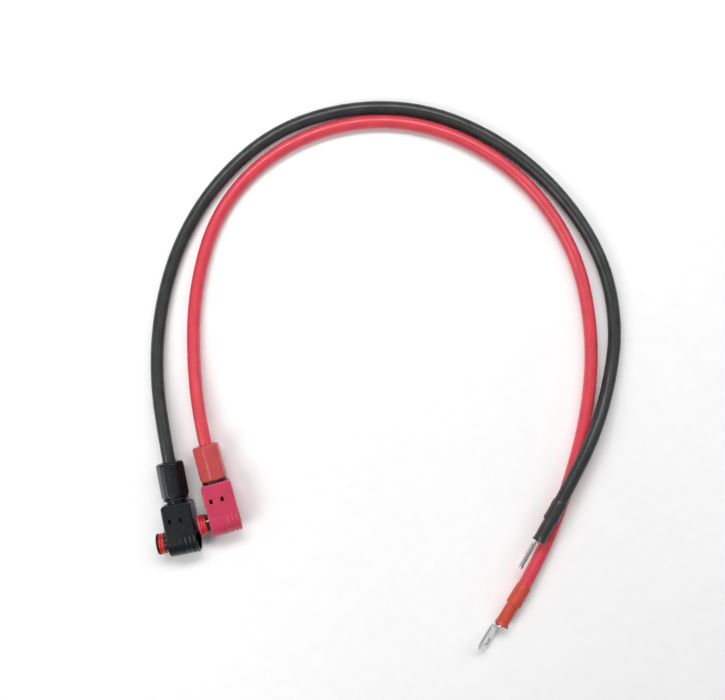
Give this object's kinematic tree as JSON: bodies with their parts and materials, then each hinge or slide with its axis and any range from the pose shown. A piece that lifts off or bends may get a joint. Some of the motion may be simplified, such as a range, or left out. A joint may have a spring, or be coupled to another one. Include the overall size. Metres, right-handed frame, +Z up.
{
  "type": "battery cable connector pair",
  "caption": "A black and a red battery lead: right-angle quick plug on one end, pin terminal or ring lug on the other.",
  "frame": {"origin": "centre of the mouth of the black plug's contact socket, inside its nose", "axes": "-X is the direction the black plug's socket faces, +Y is the direction its cable leaves, +Z is up from the surface the leads lie on, which is at z = -0.0113"},
  "size_m": [0.3849, 0.4375, 0.0253],
  "materials": {
    "black_plastic": "fine moulded grain",
    "red_plastic": "fine moulded grain",
    "black_nut_plastic": "satin moulded",
    "red_nut_plastic": "satin moulded",
    "red_silicone": "soft satin",
    "silver_plate": "silver-plated copper alloy",
    "gold_spring": "plated beryllium copper",
    "spring_steel": "stainless spring steel",
    "black_rubber": "moulded",
    "bare_copper": "bare copper strands",
    "tinned_copper": "tin-plated copper",
    "black_jacket": "extruded flexible jacket",
    "red_jacket": "extruded flexible jacket",
    "black_shrink": "shrunk polyolefin sleeve",
    "red_shrink": "shrunk polyolefin sleeve"
  },
  "bodies": {
    "red_lead": {"red_housing": "red_plastic", "red_front_cover": "black_plastic", "red_seal_retainer": "red_plastic", "red_interface_seal": "red_silicone", "red_contact": "silver_plate", "red_contact_spring": "gold_spring", "red_touch_guard": "red_plastic", "red_contact_carrier": "black_plastic", "red_cable_seal": "black_rubber", "red_conductor_plug_end": "bare_copper", "red_cable_jacket": "red_jacket", "red_heat_shrink": "red_shrink", "red_conductor_terminal_end": "bare_copper", "red_ring_lug": "tinned_copper", "red_button_springs": "spring_steel"},
    "black_lead": {"black_housing": "black_plastic", "black_front_cover": "black_plastic", "black_seal_retainer": "black_plastic", "black_interface_seal": "red_silicone", "black_contact": "silver_plate", "black_contact_spring": "gold_spring", "black_touch_guard": "black_plastic", "black_contact_carrier": "black_plastic", "black_cable_seal": "black_rubber", "black_conductor_plug_end": "bare_copper", "black_cable_jacket": "black_jacket", "black_heat_shrink": "black_shrink", "black_conductor_terminal_end": "bare_copper", "black_pin_terminal": "tinned_copper", "black_button_springs": "spring_steel"},
    "black_release_button": {"black_release_button": "black_plastic", "black_lock_plate": "spring_steel"},
    "black_gland_clamp": {"black_clamp_cage": "black_plastic", "black_gland_o_ring": "black_rubber"},
    "black_gland_nut": {"black_gland_nut": "black_nut_plastic"},
    "red_release_button": {"red_release_button": "red_plastic", "red_lock_plate": "spring_steel"},
    "red_gland_clamp": {"red_clamp_cage": "black_plastic", "red_gland_o_ring": "black_rubber"},
    "red_gland_nut": {"red_gland_nut": "red_nut_plastic"}
  },
  "joints": [
    {"name": "black_lead_lift", "type": "slide", "parent": "red_lead", "child": "black_lead", "axis": [0, 0, 1], "range_m": [0, 0.06]},
    {"name": "black_button_press", "type": "slide", "parent": "black_lead", "child": "black_release_button", "axis": [0, 1, 0], "range_m": [0, 0.0018], "stiffness_N_per_m": 800, "springref_m": -0.003, "deforming": ["black_button_springs"]},
    {"name": "black_clamp_travel", "type": "slide", "parent": "black_lead", "child": "black_gland_clamp", "axis": [0, 1, 0], "range_m": [-0.0018, 0.0027]},
    {"name": "black_nut_turn", "type": "hinge", "parent": "black_gland_clamp", "child": "black_gland_nut", "pos_m": [0.0198, 0.045, 0], "axis": [0, 1, 0], "range_deg": [-432, 648]},
    {"name": "red_button_press", "type": "slide", "parent": "red_lead", "child": "red_release_button", "axis": [-0.0698, 0.9976, 0], "range_m": [0, 0.0018], "stiffness_N_per_m": 800, "springref_m": -0.003, "deforming": ["red_button_springs"]},
    {"name": "red_clamp_travel", "type": "slide", "parent": "red_lead", "child": "red_gland_clamp", "axis": [-0.0698, 0.9976, 0], "range_m": [0, 0.0045]},
    {"name": "red_nut_turn", "type": "hinge", "parent": "red_gland_clamp", "child": "red_gland_nut", "pos_m": [0.05056, 0.05469, 0.00135], "axis": [-0.0698, 0.9976, 0], "range_deg": [0, 1080]}
  ],
  "couplings": [
    {"joint": "black_nut_turn", "follows": "black_clamp_travel", "rad_per_m": 4188.8},
    {"joint": "red_nut_turn", "follows": "red_clamp_travel", "rad_per_m": 4188.8}
  ]
}
